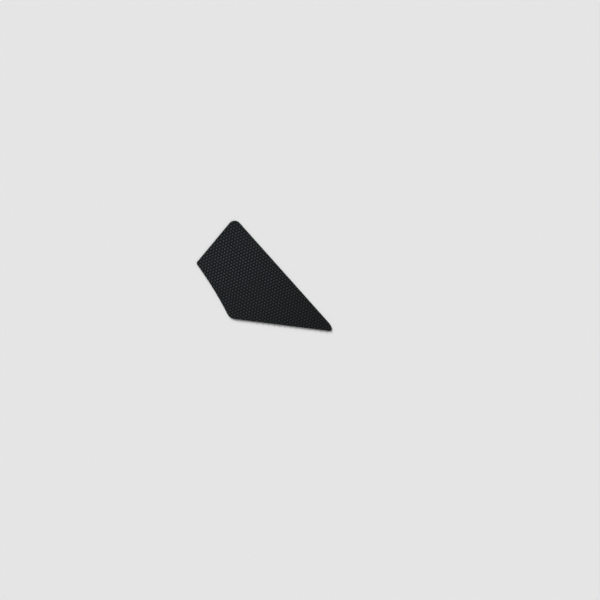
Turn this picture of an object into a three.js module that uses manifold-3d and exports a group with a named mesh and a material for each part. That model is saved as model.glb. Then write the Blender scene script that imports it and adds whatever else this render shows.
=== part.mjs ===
// Grip pad for the side of a motorcycle's fuel tank, where the rider's knee presses.
// It is one piece: a rubber sheet with rows of small studs moulded on its outer face and a flat back
// that is stuck to the tank. It is cut to a four-sided outline, and the cut trims the studs at its edge.
//
// Millimetres. The pad lies on its back, centred on the origin: +X runs towards the front of the
// machine, +Y up the tank's side, and +Z out of the tank towards the knee.

import * as THREE from "three";
import { mergeVertices } from "three/addons/utils/BufferGeometryUtils.js";
import Module from "manifold-3d";

const wasm = await Module();
wasm.setup();

// Thickness of the sheet between the studs.
const SHEET_THICKNESS = 2.0;

// The outline's sharp corners before they are rounded, measured from the middle of the pad, and the
// radius that rounds each of them.
const TOP_CORNER_X = -46.5;
const TOP_CORNER_Y = 91;
const TOP_CORNER_RADIUS = 10.5;

const REAR_CORNER_X = -106;
const REAR_CORNER_Y = 19.5;
const REAR_CORNER_RADIUS = 2.5;

const HEEL_CORNER_X = -54;
const HEEL_CORNER_Y = -66.5;
const HEEL_CORNER_RADIUS = 16;

const TOE_CORNER_X = 113;
const TOE_CORNER_Y = -87.5;

// The toe is blunt. The shoulder lies on the front side and the nose on the lower side, each so far
// back from the sharp corner, and each has its own radius.
const TOE_SHOULDER_SETBACK = 17;
const TOE_SHOULDER_RADIUS = 15;
const TOE_NOSE_SETBACK = 4.8;
const TOE_NOSE_RADIUS = 4;

// How far the rear side bends in at its middle, to follow the front of the seat.
const REAR_SIDE_HOLLOW = 2;

// The studs stand in rows that cross at 60 degrees, so each has six neighbours at one distance. One
// row rises at this angle from +X.
const STUD_PITCH = 5;
const STUD_ROW_ANGLE = 21.4;
const ROW_CROSSING_ANGLE = 60;
const STUD_DIAMETER = 3.8;
const STUD_HEIGHT = 1.3;
const STUD_SIDES = 6;

// One stud's centre, from which the rows are counted.
const FIRST_STUD_X = -52;
const FIRST_STUD_Y = 11.5;

// How deep a stud's root is set in the sheet, and how far the uncut sheet reaches past the outline.
const STUD_ROOT = SHEET_THICKNESS / 2;
const UNCUT_MARGIN = STUD_PITCH;

// How many steps draw each curve of the outline, and how close two points count as one.
const CURVE_STEPS = 8;
const MERGE_DISTANCE = 1e-4;

const RUBBER_COLOUR = 0x26292b;

// A corner of the outline: its sharp point and the radius that rounds it.
function corner(x, y, radius) {
  return { point: new THREE.Vector2(x, y), radius };
}

// The point at a distance from one point towards another.
function towards(from, to, distance) {
  return to.clone().sub(from).setLength(distance).add(from);
}

// Where a corner's rounding begins and ends on the lines to its two neighbours.
function rounding({ point, radius }, before, after) {
  const back = before.clone().sub(point);
  const ahead = after.clone().sub(point);
  const halfAngle = Math.acos(back.dot(ahead) / (back.length() * ahead.length())) / 2;
  const reach = radius / Math.tan(halfAngle);
  const start = towards(point, before, reach);
  const end = towards(point, after, reach);
  const middle = start.clone().add(end).multiplyScalar(0.5);
  const centre = towards(point, middle, radius / Math.sin(halfAngle));
  return { start, end, centre, radius };
}

// Carries the path on to a rounding and round it, anticlockwise.
function addRounding(path, { start, end, centre, radius }) {
  const startAngle = Math.atan2(start.y - centre.y, start.x - centre.x);
  const endAngle = Math.atan2(end.y - centre.y, end.x - centre.x);
  path.absarc(centre.x, centre.y, radius, startAngle, endAngle, false);
}

// The cut outline, anticlockwise from the top corner, centred on the origin.
function outlinePoints() {
  const top = corner(TOP_CORNER_X, TOP_CORNER_Y, TOP_CORNER_RADIUS);
  const rear = corner(REAR_CORNER_X, REAR_CORNER_Y, REAR_CORNER_RADIUS);
  const heel = corner(HEEL_CORNER_X, HEEL_CORNER_Y, HEEL_CORNER_RADIUS);
  const sharpToe = new THREE.Vector2(TOE_CORNER_X, TOE_CORNER_Y);
  const nosePoint = towards(sharpToe, heel.point, TOE_NOSE_SETBACK);
  const shoulderPoint = towards(sharpToe, top.point, TOE_SHOULDER_SETBACK);
  const nose = corner(nosePoint.x, nosePoint.y, TOE_NOSE_RADIUS);
  const shoulder = corner(shoulderPoint.x, shoulderPoint.y, TOE_SHOULDER_RADIUS);

  // The rear side is a curve drawn in towards this point, which stands twice its hollow from the
  // straight line between its corners.
  const alongRear = heel.point.clone().sub(rear.point);
  const inwards = new THREE.Vector2(-alongRear.y, alongRear.x).setLength(2 * REAR_SIDE_HOLLOW);
  const rearPull = rear.point.clone().add(heel.point).multiplyScalar(0.5).add(inwards);

  const rearRounding = rounding(rear, top.point, rearPull);
  const heelRounding = rounding(heel, rearPull, nose.point);

  const path = new THREE.Path();
  addRounding(path, rounding(top, shoulder.point, rear.point));
  addRounding(path, rearRounding);
  path.quadraticCurveTo(rearPull.x, rearPull.y, heelRounding.start.x, heelRounding.start.y);
  addRounding(path, heelRounding);
  addRounding(path, rounding(nose, heel.point, shoulder.point));
  addRounding(path, rounding(shoulder, nose.point, top.point));

  const points = path.getPoints(CURVE_STEPS);
  const middle = new THREE.Box2().setFromPoints(points).getCenter(new THREE.Vector2());
  return points.map((point) => point.sub(middle));
}

// True if a point lies inside the outline.
function isInside(point, outline) {
  let inside = false;
  outline.forEach((a, i) => {
    const b = outline[(i + 1) % outline.length];
    const crosses = a.y > point.y !== b.y > point.y;
    if (crosses && point.x < a.x + ((b.x - a.x) * (point.y - a.y)) / (b.y - a.y)) {
      inside = !inside;
    }
  });
  return inside;
}

// The step from one stud to the next in a row that rises at an angle from +X.
function studStep(rowAngle) {
  const angle = THREE.MathUtils.degToRad(rowAngle);
  return new THREE.Vector2(Math.cos(angle), Math.sin(angle)).multiplyScalar(STUD_PITCH);
}

// The centres of the studs: every crossing of the rows that falls inside the outline.
function studCentres(outline) {
  const alongRow = studStep(STUD_ROW_ANGLE);
  const acrossRows = studStep(STUD_ROW_ANGLE + ROW_CROSSING_ANGLE);
  const rowSpacing = STUD_PITCH * Math.sin(THREE.MathUtils.degToRad(ROW_CROSSING_ANGLE));
  const first = new THREE.Vector2(FIRST_STUD_X, FIRST_STUD_Y);
  const furthest = Math.max(...outline.map((point) => point.distanceTo(first)));
  const count = Math.ceil(furthest / rowSpacing);
  const centres = [];
  for (let i = -count; i <= count; i++) {
    for (let j = -count; j <= count; j++) {
      const centre = first.clone().addScaledVector(alongRow, i).addScaledVector(acrossRows, j);
      if (isInside(centre, outline)) centres.push(centre);
    }
  }
  return centres;
}

// One stud with its root, standing on the sheet's outer face at the origin. The round stud is drawn
// with a few sides that rise to a point, and its corners point along the rows.
function studGeometry() {
  const profile = [
    new THREE.Vector2(0, -STUD_ROOT),
    new THREE.Vector2(STUD_DIAMETER / 2, -STUD_ROOT),
    new THREE.Vector2(STUD_DIAMETER / 2, 0),
    new THREE.Vector2(0, STUD_HEIGHT),
  ];
  const stud = new THREE.LatheGeometry(profile, STUD_SIDES, Math.PI / 2);
  stud.rotateX(Math.PI / 2);
  stud.rotateZ(THREE.MathUtils.degToRad(STUD_ROW_ANGLE));
  stud.translate(0, 0, SHEET_THICKNESS);
  return stud;
}

function solidOf(geometry) {
  const bare = geometry.clone();
  bare.deleteAttribute("normal");
  bare.deleteAttribute("uv");
  const merged = mergeVertices(bare, MERGE_DISTANCE);
  return new wasm.Manifold(
    new wasm.Mesh({
      numProp: 3,
      vertProperties: new Float32Array(merged.attributes.position.array),
      triVerts: new Uint32Array(merged.index.array),
    }),
  );
}

function geometryOf(solid) {
  const mesh = solid.getMesh();
  const geometry = new THREE.BufferGeometry();
  geometry.setAttribute("position", new THREE.BufferAttribute(mesh.vertProperties, 3));
  geometry.setIndex(new THREE.BufferAttribute(mesh.triVerts, 1));
  geometry.computeVertexNormals();
  return geometry;
}

// The moulded sheet before it is cut: a plain slab, larger than the outline.
function uncutSheet(outline) {
  const size = new THREE.Box2().setFromPoints(outline).getSize(new THREE.Vector2());
  const sheet = new THREE.BoxGeometry(
    size.x + 2 * UNCUT_MARGIN,
    size.y + 2 * UNCUT_MARGIN,
    SHEET_THICKNESS,
  );
  sheet.translate(0, 0, SHEET_THICKNESS / 2);
  return solidOf(sheet);
}

// What the cutter keeps: everything over the outline, from below the back to above the studs.
function keptByTheCut(outline) {
  const depth = SHEET_THICKNESS + STUD_HEIGHT + 2 * UNCUT_MARGIN;
  const block = new THREE.ExtrudeGeometry(new THREE.Shape(outline), { depth, bevelEnabled: false });
  block.translate(0, 0, -UNCUT_MARGIN);
  return solidOf(block);
}

function tankPad() {
  const outline = outlinePoints();
  const stud = solidOf(studGeometry());
  const studs = studCentres(outline).map((centre) => stud.translate([centre.x, centre.y, 0]));
  const studded = wasm.Manifold.union([uncutSheet(outline), ...studs]);
  return geometryOf(studded.intersect(keptByTheCut(outline)));
}

const rubber = new THREE.MeshStandardMaterial({ color: RUBBER_COLOUR, roughness: 0.6, metalness: 0 });
const pad = new THREE.Mesh(tankPad(), rubber);
pad.name = "tank_pad";

const part = new THREE.Group();
part.add(pad);

export default part;
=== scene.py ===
"""The looks of a motorcycle tank pad: a sheet of black rubber with small round studs on its outer face.

Metres, in the frame's own place: +X runs towards the front of the machine, +Y up the tank's side and
+Z out of the sheet. The pad's outline, its thickness and the place of each stud are the frame's.
"""

import itertools
import math

import bmesh
import bpy
from bpy.props import FloatProperty, FloatVectorProperty, PointerProperty
from mathutils import Matrix, Vector
from mathutils.bvhtree import BVHTree


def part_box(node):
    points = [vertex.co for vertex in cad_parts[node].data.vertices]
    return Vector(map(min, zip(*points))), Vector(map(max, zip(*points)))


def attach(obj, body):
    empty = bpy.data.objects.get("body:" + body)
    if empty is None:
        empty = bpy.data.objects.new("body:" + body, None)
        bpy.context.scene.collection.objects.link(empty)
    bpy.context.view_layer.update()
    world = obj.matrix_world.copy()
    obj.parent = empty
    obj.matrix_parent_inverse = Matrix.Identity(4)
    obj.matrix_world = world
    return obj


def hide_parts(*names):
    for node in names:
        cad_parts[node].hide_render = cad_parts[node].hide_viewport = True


bl_info = {
    "name": "Motorcycle Tank Pad",
    "version": (1, 0, 0),
    "blender": (4, 5, 0),
    "location": "3D View > Sidebar > Tank Pad",
    "description": "Builds a studded rubber tank pad and a plain studio to show it in",
    "category": "Object",
}

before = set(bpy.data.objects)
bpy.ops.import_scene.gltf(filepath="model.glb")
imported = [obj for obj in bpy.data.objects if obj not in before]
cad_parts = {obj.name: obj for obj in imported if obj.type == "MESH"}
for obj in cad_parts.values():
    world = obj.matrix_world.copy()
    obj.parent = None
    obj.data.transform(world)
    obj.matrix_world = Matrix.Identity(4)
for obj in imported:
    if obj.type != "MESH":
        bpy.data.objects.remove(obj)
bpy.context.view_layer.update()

PAD_NODE = "tank_pad"
PAD_BODY = "root"

# The frame's box of the pad, from the corner of its back to the height of its stud tips.
PAD_LOW, PAD_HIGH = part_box(PAD_NODE)

# Points nearer than this are one point.
MERGE_DISTANCE = 1e-5

# The cut leaves no edge shorter than this.
SHORTEST_EDGE = 5e-6

# A face counts as level where the upward part of its normal is over this.
LEVEL = 0.999

# Each stud has this many neighbours at one distance, and is turned in two steps for each of them.
NEIGHBOURS = 6
STUD_STEPS = 2 * NEIGHBOURS

# The uncut sheet and the cutter run past each other by this much.
OVERLAP = 0.002

# The cut's rounded shoulder ends this far over the sheet, so that the two cross and don't touch.
SHOULDER_LIFT = 0.00003

# How many flats draw each rounded edge.
CROWN_SEGMENTS = 1
FOOT_SEGMENTS = 1
SHOULDER_SEGMENTS = 3
BACK_EDGE_SEGMENTS = 2

# Edges bent more sharply than this are shaded as sharp.
SHARP_ANGLE = math.radians(40)

# Noise mostly lies between these two values.
NOISE_LOW = 0.3
NOISE_HIGH = 0.7

# How many finer layers are added to each noise.
BLOOM_DETAIL = 4
SCUFF_DETAIL = 2
GRAIN_DETAIL = 2

# Where a Mix node has its colour sockets, whose names its other types' sockets share.
FIRST_COLOUR = 6
SECOND_COLOUR = 7
MIXED_COLOUR = 2

# The floor lies this far under the pad's back, so that the two don't touch.
FLOOR_DROP = 1e-5

# The floor is open under the pad, as wide as this share of the pad, so that light reaches the back.
FLOOR_OPENING = 0.995

# The photograph's frame, where the pad's middle falls in it, and the camera's sensor in millimetres.
PICTURE_PIXELS = 600
PAD_MIDDLE_PIXEL = (264.25, 275.8)
PIXELS_PER_METRE = 644
SENSOR_WIDTH = 36


class TankPadShape(bpy.types.PropertyGroup):
    """Sizes of the studs and of the cut edge."""

    foot_diameter: FloatProperty(
        name="Stud Foot",
        description="Width of a stud where it meets the sheet",
        default=0.0038,
        min=0.001,
        precision=5,
        subtype="DISTANCE",
        unit="LENGTH",
    )
    crown_diameter: FloatProperty(
        name="Stud Crown",
        description="Width of a stud's blunt top before its edge is rounded",
        default=0.0024,
        min=0.0005,
        precision=5,
        subtype="DISTANCE",
        unit="LENGTH",
    )
    crown_rise: FloatProperty(
        name="Crown Rise",
        description="How much a stud's top rises from its edge to its middle",
        default=0.00018,
        min=0,
        precision=5,
        subtype="DISTANCE",
        unit="LENGTH",
    )
    crown_rounding: FloatProperty(
        name="Crown Rounding",
        description="Width of the rounding round a stud's top",
        default=0.00032,
        min=0,
        precision=5,
        subtype="DISTANCE",
        unit="LENGTH",
    )
    foot_rounding: FloatProperty(
        name="Foot Rounding",
        description="Width of the hollow rounding between a stud and the sheet",
        default=0.00028,
        min=0,
        precision=5,
        subtype="DISTANCE",
        unit="LENGTH",
    )
    deepest_cut: FloatProperty(
        name="Deepest Cut",
        description="How far past a stud's middle the cut may run before the mould leaves that stud out",
        default=0.001,
        min=0,
        precision=5,
        subtype="DISTANCE",
        unit="LENGTH",
    )
    shoulder_radius: FloatProperty(
        name="Cut Shoulder",
        description="Radius of the sheet's outer edge, where the rubber draws in under the cutter",
        default=0.00035,
        min=0.00005,
        precision=5,
        subtype="DISTANCE",
        unit="LENGTH",
    )
    back_edge_radius: FloatProperty(
        name="Back Edge",
        description="Radius of the edge between the cut and the flat back",
        default=0.00012,
        min=0.00002,
        precision=5,
        subtype="DISTANCE",
        unit="LENGTH",
    )


class TankPadRubber(bpy.types.PropertyGroup):
    """Colours and finish of the rubber."""

    # Painted shade: the rubber between the studs is darkened as if in shadow.
    sheet_colour_with_shade: FloatVectorProperty(
        name="Sheet Colour",
        description="Colour of the rubber between the studs",
        default=(0.0027, 0.0034, 0.0038),
        min=0,
        max=1,
        size=3,
        subtype="COLOR",
    )
    # The studs' tops away from the painted sheen.
    crown_colour: FloatVectorProperty(
        name="Crown Colour",
        description="Colour of the studs' tops where the knee hasn't rubbed them",
        default=(0.0062, 0.0074, 0.0082),
        min=0,
        max=1,
        size=3,
        subtype="COLOR",
    )
    cut_colour: FloatVectorProperty(
        name="Cut Colour",
        description="Colour of the lightest patches of the cut edge and the back",
        default=(0.0133, 0.0141, 0.0147),
        min=0,
        max=1,
        size=3,
        subtype="COLOR",
    )
    cut_shade: FloatProperty(
        name="Cut Shade",
        description="Brightness of the darkest patches of the cut edge and the back, as a share",
        default=0.5,
        min=0,
        max=1,
        subtype="FACTOR",
    )
    gloss: FloatProperty(
        name="Gloss",
        description="Specular level of the rubber, which is matt",
        default=0.13,
        min=0,
        max=1,
        subtype="FACTOR",
    )
    sheet_roughness: FloatProperty(
        name="Sheet Roughness",
        description="Roughness of the moulded rubber between the studs",
        default=0.75,
        min=0,
        max=1,
        subtype="FACTOR",
    )
    crown_roughness: FloatProperty(
        name="Crown Roughness",
        description="Roughness of the studs' tops, which handling has smoothed a little",
        default=0.5,
        min=0,
        max=1,
        subtype="FACTOR",
    )
    cut_roughness: FloatProperty(
        name="Cut Roughness",
        description="Roughness of the cut edge and the back",
        default=0.75,
        min=0,
        max=1,
        subtype="FACTOR",
    )
    grain_size: FloatProperty(
        name="Grain Size",
        description="Width of the fine grain that the mould leaves on the rubber",
        default=0.00028,
        min=0.00005,
        precision=5,
        subtype="DISTANCE",
        unit="LENGTH",
    )
    grain_depth: FloatProperty(
        name="Grain Depth",
        description="Height of the mould's grain",
        default=0.00005,
        min=0,
        precision=6,
        subtype="DISTANCE",
        unit="LENGTH",
    )
    blade_drag: FloatProperty(
        name="Blade Drag",
        description="How many times longer than wide the blade leaves the grain on the cut edge",
        default=8,
        min=1,
    )
    bloom_size: FloatProperty(
        name="Bloom Size",
        description="Width of the faint patches that handling leaves",
        default=0.03,
        min=0.001,
        precision=4,
        subtype="DISTANCE",
        unit="LENGTH",
    )
    bloom_tone: FloatProperty(
        name="Bloom Tone",
        description="How much lighter or darker the patches are on the studs' tops, as a share",
        default=0.1,
        min=0,
        max=1,
        subtype="FACTOR",
    )
    bloom_roughness: FloatProperty(
        name="Bloom Roughness",
        description="How much rougher or smoother the patches are",
        default=0.05,
        min=0,
        max=1,
        subtype="FACTOR",
    )
    scuff_size: FloatProperty(
        name="Scuff Size",
        description="Width of the small scuffs, which reach one or two studs",
        default=0.007,
        min=0.001,
        precision=4,
        subtype="DISTANCE",
        unit="LENGTH",
    )
    scuff_tone: FloatProperty(
        name="Scuff Tone",
        description="How much lighter or darker the scuffs are, as a share",
        default=0.2,
        min=0,
        max=1,
        subtype="FACTOR",
    )
    # Painted sheen: the studs' tops are painted lighter round this middle, and the sheen fades out at the
    # reach.
    painted_sheen_middle: FloatVectorProperty(
        name="Knee Place",
        description="Middle of the area that the knee rubs grey",
        default=(-0.07, 0.03, 0),
        size=3,
        subtype="TRANSLATION",
        unit="LENGTH",
    )
    painted_sheen_reach: FloatProperty(
        name="Knee Reach",
        description="Distance from that middle at which the rubbing ends",
        default=0.19,
        min=0.01,
        subtype="DISTANCE",
        unit="LENGTH",
    )
    painted_sheen: FloatProperty(
        name="Wear",
        description="Brightness that the knee adds to the studs' tops at most, as a multiple of their own",
        default=4.2,
        min=0,
    )


class TankPadStudio(bpy.types.PropertyGroup):
    """The floor, the lights and the camera."""

    floor_colour: FloatVectorProperty(
        name="Floor Colour",
        description="Colour of the plain floor",
        default=(0.78, 0.78, 0.78),
        min=0,
        max=1,
        size=3,
        subtype="COLOR",
    )
    floor_roughness: FloatProperty(
        name="Floor Roughness",
        description="Roughness of the floor",
        default=0.9,
        min=0,
        max=1,
        subtype="FACTOR",
    )
    floor_gloss: FloatProperty(
        name="Floor Gloss",
        description="Specular level of the floor, which is matt",
        default=0.2,
        min=0,
        max=1,
        subtype="FACTOR",
    )
    floor_spread: FloatProperty(
        name="Floor Spread",
        description="How many times as wide as the pad the floor is",
        default=400,
        min=2,
    )
    sky_strength: FloatProperty(
        name="Sky Strength",
        description="Even light from all round",
        default=0.22,
        min=0,
    )
    key_strength: FloatProperty(
        name="Key Strength",
        description="Strength of the broad key light on a face turned to it",
        default=3.7,
        min=0,
    )
    key_spread: FloatProperty(
        name="Key Spread",
        description="How broad the key light looks from the pad; a broad one casts soft shadows",
        default=math.radians(35),
        subtype="ANGLE",
        unit="ROTATION",
    )
    key_direction: FloatProperty(
        name="Key Direction",
        description="Direction of the key light as seen from above, from +X towards +Y",
        default=math.radians(112),
        subtype="ANGLE",
        unit="ROTATION",
    )
    key_elevation: FloatProperty(
        name="Key Elevation",
        description="Height of the key light over the floor, as an angle",
        default=math.radians(34),
        subtype="ANGLE",
        unit="ROTATION",
    )
    fill_strength: FloatProperty(
        name="Fill Strength",
        description="Strength of the weak light from the other side",
        default=0.5,
        min=0,
    )
    fill_spread: FloatProperty(
        name="Fill Spread",
        description="How broad the fill light and the light from below look from the pad",
        default=math.radians(60),
        subtype="ANGLE",
        unit="ROTATION",
    )
    fill_direction: FloatProperty(
        name="Fill Direction",
        description="Direction of the fill light as seen from above, from +X towards +Y",
        default=math.radians(290),
        subtype="ANGLE",
        unit="ROTATION",
    )
    fill_elevation: FloatProperty(
        name="Fill Elevation",
        description="Height of the fill light over the floor, as an angle",
        default=math.radians(50),
        subtype="ANGLE",
        unit="ROTATION",
    )
    under_strength: FloatProperty(
        name="Under Light Strength",
        description="Strength of the light from straight below, which reaches the pad's back alone",
        default=2.2,
        min=0,
    )
    camera_height: FloatProperty(
        name="Camera Height",
        description="Height of the camera over the studs' tips",
        default=3,
        min=0.5,
        subtype="DISTANCE",
        unit="LENGTH",
    )


# The frame's solid


def frame_solid():
    """The frame's own solid of the pad as a bmesh, with the corners of its loose triangles merged."""
    bm = bmesh.new()
    bm.from_mesh(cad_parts[PAD_NODE].data)
    bmesh.ops.remove_doubles(bm, verts=bm.verts, dist=MERGE_DISTANCE)
    bm.normal_update()
    return bm


def stud_centres(solid):
    """Where the studs stand: under the highest points of the frame's solid."""
    return [vert.co.xy for vert in solid.verts if vert.co.z > PAD_HIGH.z - MERGE_DISTANCE]


def face_height(face):
    """Height of a face's middle."""
    return face.calc_center_median().z


def sheet_height(solid):
    """Height of the sheet's face between the studs: that of the largest face that looks straight up."""
    upward = [face for face in solid.faces if face.normal.z > LEVEL]
    return face_height(max(upward, key=lambda face: face.calc_area()))


def flat_back(solid):
    """The pad's back as one flat face."""
    bm = solid.copy()
    above = [vert for vert in bm.verts if vert.co.z > PAD_LOW.z + MERGE_DISTANCE]
    bmesh.ops.delete(bm, geom=above, context="VERTS")
    bmesh.ops.dissolve_faces(bm, faces=bm.faces)
    return bm


def row_step(centres):
    """The stud nearest the middle, and the step to the neighbour that lies furthest towards +X."""
    first = min(centres, key=lambda centre: centre.length)
    nearest = sorted(centres, key=lambda centre: (centre - first).length)[1 : 1 + NEIGHBOURS]
    return first, max((centre - first for centre in nearest), key=lambda step: step.x)


# The moulded sheet


def ring_edges(bm, radius):
    """The edges that run round the origin at a radius."""
    return [
        edge
        for edge in bm.edges
        if all(abs(vert.co.xy.length - radius) < MERGE_DISTANCE for vert in edge.verts)
    ]


def verts_of(made):
    """The vertices among what an operator made."""
    return [item for item in made["geom"] if isinstance(item, bmesh.types.BMVert)]


def bevel_edges(bm, edges, width, segments):
    """Rounds edges over a width, in so many flats."""
    bmesh.ops.bevel(
        bm,
        geom=edges,
        offset=width,
        offset_type="OFFSET",
        segments=segments,
        profile=0.5,
        affect="EDGES",
        clamp_overlap=True,
        material=-1,
    )


def stretch_to_hexagon(bm, step):
    """Moves a round cell's border out to the hexagon that it shares with its six neighbours.

    Every second point of the border lies halfway to a neighbour, and those between become the corners.
    """
    turn = math.tau / STUD_STEPS
    border = [vert for vert in bm.verts if vert.is_boundary]
    corners = [vert for vert in border if round(math.atan2(vert.co.y, vert.co.x) / turn) % 2]
    stretch = 1 / math.cos(turn)
    bmesh.ops.scale(bm, vec=(stretch, stretch, 1), verts=corners)
    row_angle = math.atan2(step.y, step.x)
    bmesh.ops.rotate(bm, verts=bm.verts, cent=(0, 0, 0), matrix=Matrix.Rotation(row_angle, 3, "Z"))


def stud_cell(shape, sheet_top, step):
    """One stud and the sheet round it, as far as halfway to the next studs."""
    bm = bmesh.new()
    crown_radius = shape.crown_diameter / 2
    foot_radius = shape.foot_diameter / 2
    profile = [
        bm.verts.new((0, 0, PAD_HIGH.z)),
        bm.verts.new((crown_radius, 0, PAD_HIGH.z - shape.crown_rise)),
        bm.verts.new((foot_radius, 0, sheet_top)),
        bm.verts.new((step.length / 2, 0, sheet_top)),
    ]
    line = [bm.edges.new(ends) for ends in itertools.pairwise(profile)]
    bmesh.ops.spin(
        bm,
        geom=profile + line,
        cent=(0, 0, 0),
        axis=(0, 0, 1),
        angle=math.tau,
        steps=STUD_STEPS,
        use_merge=True,
    )
    bmesh.ops.remove_doubles(bm, verts=bm.verts, dist=MERGE_DISTANCE)
    bmesh.ops.recalc_face_normals(bm, faces=bm.faces)
    bevel_edges(bm, ring_edges(bm, crown_radius), shape.crown_rounding, CROWN_SEGMENTS)
    bevel_edges(bm, ring_edges(bm, foot_radius), shape.foot_rounding, FOOT_SEGMENTS)
    stretch_to_hexagon(bm, step)
    return bm


def bare_cell(sheet_top, step):
    """The same patch of sheet with no stud on it."""
    bm = bmesh.new()
    bmesh.ops.create_circle(
        bm,
        cap_ends=True,
        segments=STUD_STEPS,
        radius=step.length / 2,
        matrix=Matrix.Translation((0, 0, sheet_top)),
    )
    stretch_to_hexagon(bm, step)
    return bm


def cell_places(first, step):
    """The middles of the cells that cover the pad's box."""
    across = Matrix.Rotation(math.tau / NEIGHBOURS, 2) @ step
    low = PAD_LOW.xy - Vector((step.length, step.length))
    high = PAD_HIGH.xy + Vector((step.length, step.length))
    reach = math.ceil((high - low).length / step.length)
    counts = itertools.product(range(-reach, reach + 1), repeat=2)
    places = [first + along * step + aside * across for along, aside in counts]
    return [place for place in places if low.x < place.x < high.x and low.y < place.y < high.y]


def split_places(places, solid, deepest_cut):
    """The places that get a stud, and those too far outside the pad's outline for one."""
    back = flat_back(solid)
    outline = BVHTree.FromBMesh(back)
    back.free()
    studded = []
    bare = []
    for place in places:
        outside = outline.find_nearest(place.to_3d())[3]
        kind = studded if outside < deepest_cut else bare
        kind.append(place)
    return studded, bare


def add_copies(bm, cell, places):
    """Adds a copy of the cell at each place, and frees the cell."""
    pattern = bpy.data.meshes.new("cell")
    cell.to_mesh(pattern)
    cell.free()
    for place in places:
        shift = Matrix.Translation(place.to_3d())
        pattern.transform(shift)
        bm.from_mesh(pattern)
        pattern.transform(shift.inverted())
    bpy.data.meshes.remove(pattern)


def close_below(bm, depth):
    """Draws the sheet's border down by a depth and closes the sheet underneath."""
    rim = [edge for edge in bm.edges if edge.is_boundary]
    skirt = verts_of(bmesh.ops.extrude_edge_only(bm, edges=rim))
    bmesh.ops.translate(bm, verts=skirt, vec=(0, 0, -depth))
    bmesh.ops.holes_fill(bm, edges=[edge for edge in bm.edges if edge.is_boundary], sides=0)
    bmesh.ops.recalc_face_normals(bm, faces=bm.faces)


def uncut_sheet(shape, solid):
    """The moulded sheet before it is cut, larger than the pad all round and deeper."""
    sheet_top = sheet_height(solid)
    first, step = row_step(stud_centres(solid))
    studded, bare = split_places(cell_places(first, step), solid, shape.deepest_cut)
    bm = bmesh.new()
    add_copies(bm, stud_cell(shape, sheet_top, step), studded)
    add_copies(bm, bare_cell(sheet_top, step), bare)
    bmesh.ops.remove_doubles(bm, verts=bm.verts, dist=MERGE_DISTANCE)
    close_below(bm, sheet_top - PAD_LOW.z + OVERLAP)
    return bm


# The cut


def raise_top(bm, height):
    """Draws the highest face up to a height, and returns the new face."""
    top = max(bm.faces, key=face_height)
    drawn = bmesh.ops.extrude_face_region(bm, geom=[top, *top.edges])
    verts = verts_of(drawn)
    bmesh.ops.translate(bm, verts=verts, vec=(0, 0, height - verts[0].co.z))
    return next(item for item in drawn["geom"] if isinstance(item, bmesh.types.BMFace))


def cut_block(shape, solid):
    """What the cutter keeps: a block over the pad's back, drawn in above the sheet's shoulder."""
    bm = flat_back(solid)
    shoulder = raise_top(bm, sheet_height(solid) + SHOULDER_LIFT)
    bevel_edges(bm, list(shoulder.edges), shape.shoulder_radius, SHOULDER_SEGMENTS)
    raise_top(bm, PAD_HIGH.z + OVERLAP)
    lowest = min(bm.faces, key=face_height)
    bevel_edges(bm, list(lowest.edges), shape.back_edge_radius, BACK_EDGE_SEGMENTS)
    bmesh.ops.recalc_face_normals(bm, faces=bm.faces)
    return bm


def object_from(bm, name, material):
    """Adds an object with the bmesh's shape and a material, and frees the bmesh."""
    mesh = bpy.data.meshes.new(name)
    bm.to_mesh(mesh)
    bm.free()
    mesh.materials.append(material)
    obj = bpy.data.objects.new(name, mesh)
    bpy.context.scene.collection.objects.link(obj)
    return obj


def put_in_order(items, key):
    """Puts a mesh's vertices, edges or faces in the order of a key."""
    for rank, item in enumerate(sorted(items, key=key)):
        item.index = rank
    items.sort()


def clean_cut(mesh):
    """Takes out the edges that the cut leaves too short to shade well.

    The cut gives its edges and faces in another order each time, so they are put in order by their
    vertices, and those by their places. The pad is then the same mesh in every run.
    """
    bm = bmesh.new()
    bm.from_mesh(mesh)
    put_in_order(bm.verts, lambda vert: tuple(vert.co))
    put_in_order(bm.edges, lambda edge: sorted(vert.index for vert in edge.verts))
    put_in_order(bm.faces, lambda face: sorted(vert.index for vert in face.verts))
    bmesh.ops.dissolve_degenerate(bm, dist=SHORTEST_EDGE, edges=bm.edges)
    bm.to_mesh(mesh)
    bm.free()


def cut_to_outline(sheet, block):
    """Keeps of the sheet what lies in the block, and takes the block away with its mesh."""
    cut = sheet.modifiers.new("cut", "BOOLEAN")
    cut.operation = "INTERSECT"
    cut.solver = "MANIFOLD"
    cut.material_mode = "TRANSFER"
    cut.object = block
    shown = bpy.context.evaluated_depsgraph_get()
    uncut = sheet.data
    sheet.data = bpy.data.meshes.new_from_object(sheet.evaluated_get(shown))
    sheet.data.name = sheet.name
    sheet.modifiers.clear()
    bpy.data.meshes.remove(uncut)
    bpy.data.meshes.remove(block.data)
    clean_cut(sheet.data)


# Nodes


def add_node(tree, kind, **settings):
    """Adds a node of a kind with its settings."""
    node = tree.nodes.new(kind)
    for name, value in settings.items():
        setattr(node, name, value)
    return node


def object_place(tree):
    """The object's own coordinates."""
    return add_node(tree, "ShaderNodeTexCoord").outputs["Object"]


def range_node(tree, value, source, target):
    """Maps a value from one range to another, held at the ends."""
    node = add_node(tree, "ShaderNodeMapRange")
    node.inputs["From Min"].default_value = source[0]
    node.inputs["From Max"].default_value = source[1]
    node.inputs["To Min"].default_value = target[0]
    node.inputs["To Max"].default_value = target[1]
    tree.links.new(value, node.inputs["Value"])
    return node.outputs["Result"]


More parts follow.
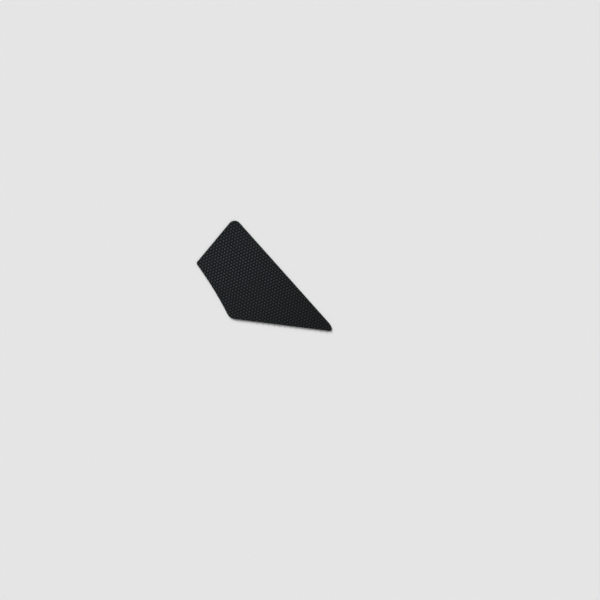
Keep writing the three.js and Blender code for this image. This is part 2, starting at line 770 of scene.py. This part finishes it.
def noise_node(tree, size, detail, stretch=1):
    """Noise with features of a size in metres, which a stretch draws out in height."""
    mapping = add_node(tree, "ShaderNodeMapping")
    mapping.inputs["Scale"].default_value = (1, 1, 1 / stretch)
    noise = add_node(tree, "ShaderNodeTexNoise")
    noise.inputs["Scale"].default_value = 1 / size
    noise.inputs["Detail"].default_value = detail
    tree.links.new(object_place(tree), mapping.inputs["Vector"])
    tree.links.new(mapping.outputs["Vector"], noise.inputs["Vector"])
    return noise.outputs["Fac"]


def spread_noise(tree, noise, middle, reach):
    """Spreads a noise as far as a reach to both sides of a middle value."""
    return range_node(tree, noise, (NOISE_LOW, NOISE_HIGH), (middle - reach, middle + reach))


def math_node(tree, operation, first, second):
    """Joins two nodes' values by an operation."""
    node = add_node(tree, "ShaderNodeMath", operation=operation)
    tree.links.new(first, node.inputs[0])
    tree.links.new(second, node.inputs[1])
    return node.outputs["Value"]


def mix_colours(tree, factor, first, second):
    """Mixes two colours, each a plain colour or another node's."""
    node = add_node(tree, "ShaderNodeMix", data_type="RGBA")
    tree.links.new(factor, node.inputs["Factor"])
    for index, colour in ((FIRST_COLOUR, first), (SECOND_COLOUR, second)):
        if isinstance(colour, bpy.types.NodeSocket):
            tree.links.new(colour, node.inputs[index])
        else:
            node.inputs[index].default_value = (*colour, 1)
    return node.outputs[MIXED_COLOUR]


def new_material(name, gloss):
    """A material, its nodes and its shader, with a specular level."""
    material = bpy.data.materials.new(name)
    material.use_nodes = True
    surface = material.node_tree.nodes["Principled BSDF"]
    surface.inputs["Specular IOR Level"].default_value = gloss
    return material, material.node_tree, surface


# Finishes


def up_the_studs(tree, sheet_top, at_sheet, at_tips):
    """A value that goes from one number at the sheet's face to another at the studs' tips."""
    axes = add_node(tree, "ShaderNodeSeparateXYZ")
    tree.links.new(object_place(tree), axes.inputs["Vector"])
    return range_node(tree, axes.outputs["Z"], (sheet_top, PAD_HIGH.z), (at_sheet, at_tips))


def painted_sheen_factor(tree, rubber):
    """How many times lighter the studs' tops are painted, as a sheen that is strongest at one place and
    fades outwards.
    """
    away = add_node(tree, "ShaderNodeVectorMath", operation="DISTANCE")
    tree.links.new(object_place(tree), away.inputs[0])
    away.inputs[1].default_value = rubber.painted_sheen_middle
    return range_node(tree, away.outputs["Value"], (0, rubber.painted_sheen_reach), (1 + rubber.painted_sheen, 1))


def crown_with_painted_sheen(tree, rubber, bloom):
    """Colour of the studs' tops, lightened by a painted sheen round one place, in faint patches and with
    small scuffs.
    """
    patches = spread_noise(tree, bloom, 1, rubber.bloom_tone)
    scuffs = spread_noise(tree, noise_node(tree, rubber.scuff_size, SCUFF_DETAIL), 1, rubber.scuff_tone)
    marks = math_node(tree, "MULTIPLY", patches, scuffs)
    # Painted sheen: the tops are lightened most round one place, fading outwards.
    sheened_crown = add_node(tree, "ShaderNodeVectorMath", operation="SCALE")
    sheened_crown.inputs["Vector"].default_value = rubber.crown_colour
    tree.links.new(math_node(tree, "MULTIPLY", painted_sheen_factor(tree, rubber), marks), sheened_crown.inputs["Scale"])
    return sheened_crown.outputs["Vector"]


def add_grain(tree, surface, rubber, stretch):
    """Raises the rubber's fine grain on a shader's surface, drawn out in height by a stretch."""
    bump = add_node(tree, "ShaderNodeBump")
    bump.inputs["Distance"].default_value = rubber.grain_depth
    grain = noise_node(tree, rubber.grain_size, GRAIN_DETAIL, stretch)
    tree.links.new(grain, bump.inputs["Height"])
    tree.links.new(bump.outputs["Normal"], surface.inputs["Normal"])


def moulded_rubber(rubber, sheet_top):
    """The studded face: darker and duller between the studs, with painted shade in those hollows, greyer
    and smoother on their tops.
    """
    material, tree, surface = new_material("moulded_rubber", rubber.gloss)
    bloom = noise_node(tree, rubber.bloom_size, BLOOM_DETAIL)
    # Painted shade: the colour darkens from the studs' tops down into the hollows between them.
    painted_shade_blend = up_the_studs(tree, sheet_top, 0, 1)
    colour = mix_colours(tree, painted_shade_blend, rubber.sheet_colour_with_shade, crown_with_painted_sheen(tree, rubber, bloom))
    tree.links.new(colour, surface.inputs["Base Color"])
    polish = up_the_studs(tree, sheet_top, rubber.sheet_roughness, rubber.crown_roughness)
    patches = spread_noise(tree, bloom, 0, rubber.bloom_roughness)
    tree.links.new(math_node(tree, "ADD", polish, patches), surface.inputs["Roughness"])
    add_grain(tree, surface, rubber, 1)
    return material


def cut_rubber(rubber):
    """The cut edge and the back: plain, dull rubber, its grain drawn out down the cut by the blade."""
    material, tree, surface = new_material("cut_rubber", rubber.gloss)
    bloom = noise_node(tree, rubber.bloom_size, BLOOM_DETAIL)
    shade = range_node(tree, bloom, (NOISE_LOW, NOISE_HIGH), (0, 1))
    darkest = [rubber.cut_shade * part for part in rubber.cut_colour]
    colour = mix_colours(tree, shade, rubber.cut_colour, darkest)
    tree.links.new(colour, surface.inputs["Base Color"])
    roughness = spread_noise(tree, bloom, rubber.cut_roughness, rubber.bloom_roughness)
    tree.links.new(roughness, surface.inputs["Roughness"])
    add_grain(tree, surface, rubber, rubber.blade_drag)
    return material


# The studio


def floor_material(studio):
    """A plain pale floor that the camera sees through from below."""
    material, tree, surface = new_material("floor", studio.floor_gloss)
    surface.inputs["Base Color"].default_value = (*studio.floor_colour, 1)
    surface.inputs["Roughness"].default_value = studio.floor_roughness
    side = add_node(tree, "ShaderNodeNewGeometry")
    clear = add_node(tree, "ShaderNodeBsdfTransparent")
    mix = add_node(tree, "ShaderNodeMixShader")
    tree.links.new(side.outputs["Backfacing"], mix.inputs["Fac"])
    tree.links.new(surface.outputs["BSDF"], mix.inputs[1])
    tree.links.new(clear.outputs["BSDF"], mix.inputs[2])
    output = tree.nodes["Material Output"]
    tree.links.new(mix.outputs["Shader"], output.inputs["Surface"])
    return material


def add_floor(studio):
    """A plain floor, drawn outwards from just inside the outline of the pad's back."""
    solid = frame_solid()
    bm = flat_back(solid)
    solid.free()
    bmesh.ops.translate(bm, verts=bm.verts, vec=(0, 0, -FLOOR_DROP))
    bmesh.ops.scale(bm, verts=bm.verts, vec=(FLOOR_OPENING, FLOOR_OPENING, 1))
    opening = list(bm.edges)
    bmesh.ops.delete(bm, geom=list(bm.faces), context="FACES_ONLY")
    outer = verts_of(bmesh.ops.extrude_edge_only(bm, edges=opening))
    bmesh.ops.scale(bm, verts=outer, vec=(studio.floor_spread, studio.floor_spread, 1))
    bm.normal_update()
    bmesh.ops.reverse_faces(bm, faces=[face for face in bm.faces if face.normal.z < 0])
    object_from(bm, "floor", floor_material(studio))


def add_sky(studio):
    """Even light on the object, and a background of the floor's colour to be seen and reflected."""
    world = bpy.data.worlds.new("studio")
    bpy.context.scene.world = world
    world.use_nodes = True
    tree = world.node_tree
    light = tree.nodes["Background"]
    light.inputs["Color"].default_value = (1, 1, 1, 1)
    light.inputs["Strength"].default_value = studio.sky_strength
    backdrop = add_node(tree, "ShaderNodeBackground")
    backdrop.inputs["Color"].default_value = (*studio.floor_colour, 1)
    path = add_node(tree, "ShaderNodeLightPath").outputs
    seen = math_node(tree, "MAXIMUM", path["Is Camera Ray"], path["Is Glossy Ray"])
    mix = add_node(tree, "ShaderNodeMixShader")
    tree.links.new(math_node(tree, "MAXIMUM", seen, path["Is Transmission Ray"]), mix.inputs["Fac"])
    tree.links.new(light.outputs["Background"], mix.inputs[1])
    tree.links.new(backdrop.outputs["Background"], mix.inputs[2])
    tree.links.new(mix.outputs["Shader"], tree.nodes["World Output"].inputs["Surface"])


def add_light(name, strength, spread, direction, elevation):
    """A broad soft light that comes from a direction, as far as the floor reaches."""
    light = bpy.data.lights.new(name, "SUN")
    light.energy = strength
    light.angle = spread
    obj = bpy.data.objects.new(name, light)
    bpy.context.scene.collection.objects.link(obj)
    obj.rotation_euler = (math.pi / 2 - elevation, 0, direction + math.pi / 2)


def add_camera(studio):
    """Looks straight down, with the pad's middle where the photograph has it."""
    camera = bpy.data.cameras.new("camera")
    camera.sensor_width = SENSOR_WIDTH
    picture_width = PICTURE_PIXELS / PIXELS_PER_METRE
    camera.lens = SENSOR_WIDTH * studio.camera_height / picture_width
    obj = bpy.data.objects.new("camera", camera)
    bpy.context.scene.collection.objects.link(obj)
    half = PICTURE_PIXELS / 2
    obj.location = (
        (half - PAD_MIDDLE_PIXEL[0]) / PIXELS_PER_METRE,
        (PAD_MIDDLE_PIXEL[1] - half) / PIXELS_PER_METRE,
        PAD_HIGH.z + studio.camera_height,
    )
    bpy.context.scene.camera = obj


# Operators and panel


class TANKPAD_OT_add_pad(bpy.types.Operator):
    """Add the studded rubber pad in the place of the frame's solid"""

    bl_idname = "tank_pad.add_pad"
    bl_label = "Add Studded Pad"

    def execute(self, context):
        shape = context.scene.tank_pad_shape
        rubber = context.scene.tank_pad_rubber
        solid = frame_solid()
        moulded = moulded_rubber(rubber, sheet_height(solid))
        pad = object_from(uncut_sheet(shape, solid), "studded_pad", moulded)
        block = object_from(cut_block(shape, solid), "cut_block", cut_rubber(rubber))
        solid.free()
        cut_to_outline(pad, block)
        pad.data.shade_smooth()
        pad.data.set_sharp_from_angle(angle=SHARP_ANGLE)
        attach(pad, PAD_BODY)
        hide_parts(PAD_NODE)
        return {"FINISHED"}


class TANKPAD_OT_set_stage(bpy.types.Operator):
    """Add the floor, the light and the camera"""

    bl_idname = "tank_pad.set_stage"
    bl_label = "Set Stage"

    def execute(self, context):
        studio = context.scene.tank_pad_studio
        add_floor(studio)
        add_sky(studio)
        add_light(
            "key_light",
            studio.key_strength,
            studio.key_spread,
            studio.key_direction,
            studio.key_elevation,
        )
        add_light(
            "fill_light",
            studio.fill_strength,
            studio.fill_spread,
            studio.fill_direction,
            studio.fill_elevation,
        )
        add_light("under_light", studio.under_strength, studio.fill_spread, 0, -math.pi / 2)
        add_camera(studio)
        context.scene.view_settings.view_transform = "Standard"
        return {"FINISHED"}


class TANKPAD_PT_sidebar(bpy.types.Panel):
    """Sizes, finish and studio of the tank pad"""

    bl_label = "Tank Pad"
    bl_idname = "TANKPAD_PT_sidebar"
    bl_space_type = "VIEW_3D"
    bl_region_type = "UI"
    bl_category = "Tank Pad"

    def draw(self, context):
        scene = context.scene
        for title, settings in (
            ("Shape", scene.tank_pad_shape),
            ("Rubber", scene.tank_pad_rubber),
            ("Studio", scene.tank_pad_studio),
        ):
            box = self.layout.box()
            box.label(text=title)
            for name in settings.__annotations__:
                box.prop(settings, name)
        self.layout.operator(TANKPAD_OT_add_pad.bl_idname)
        self.layout.operator(TANKPAD_OT_set_stage.bl_idname)


CLASSES = (
    TankPadShape,
    TankPadRubber,
    TankPadStudio,
    TANKPAD_OT_add_pad,
    TANKPAD_OT_set_stage,
    TANKPAD_PT_sidebar,
)


def register():
    for cls in CLASSES:
        bpy.utils.register_class(cls)
    bpy.types.Scene.tank_pad_shape = PointerProperty(type=TankPadShape)
    bpy.types.Scene.tank_pad_rubber = PointerProperty(type=TankPadRubber)
    bpy.types.Scene.tank_pad_studio = PointerProperty(type=TankPadStudio)


def unregister():
    del bpy.types.Scene.tank_pad_studio
    del bpy.types.Scene.tank_pad_rubber
    del bpy.types.Scene.tank_pad_shape
    for cls in reversed(CLASSES):
        bpy.utils.unregister_class(cls)


def main():
    """Builds the pad in its studio."""
    register()
    bpy.ops.tank_pad.add_pad()
    bpy.ops.tank_pad.set_stage()


if __name__ == "__main__":
    main()
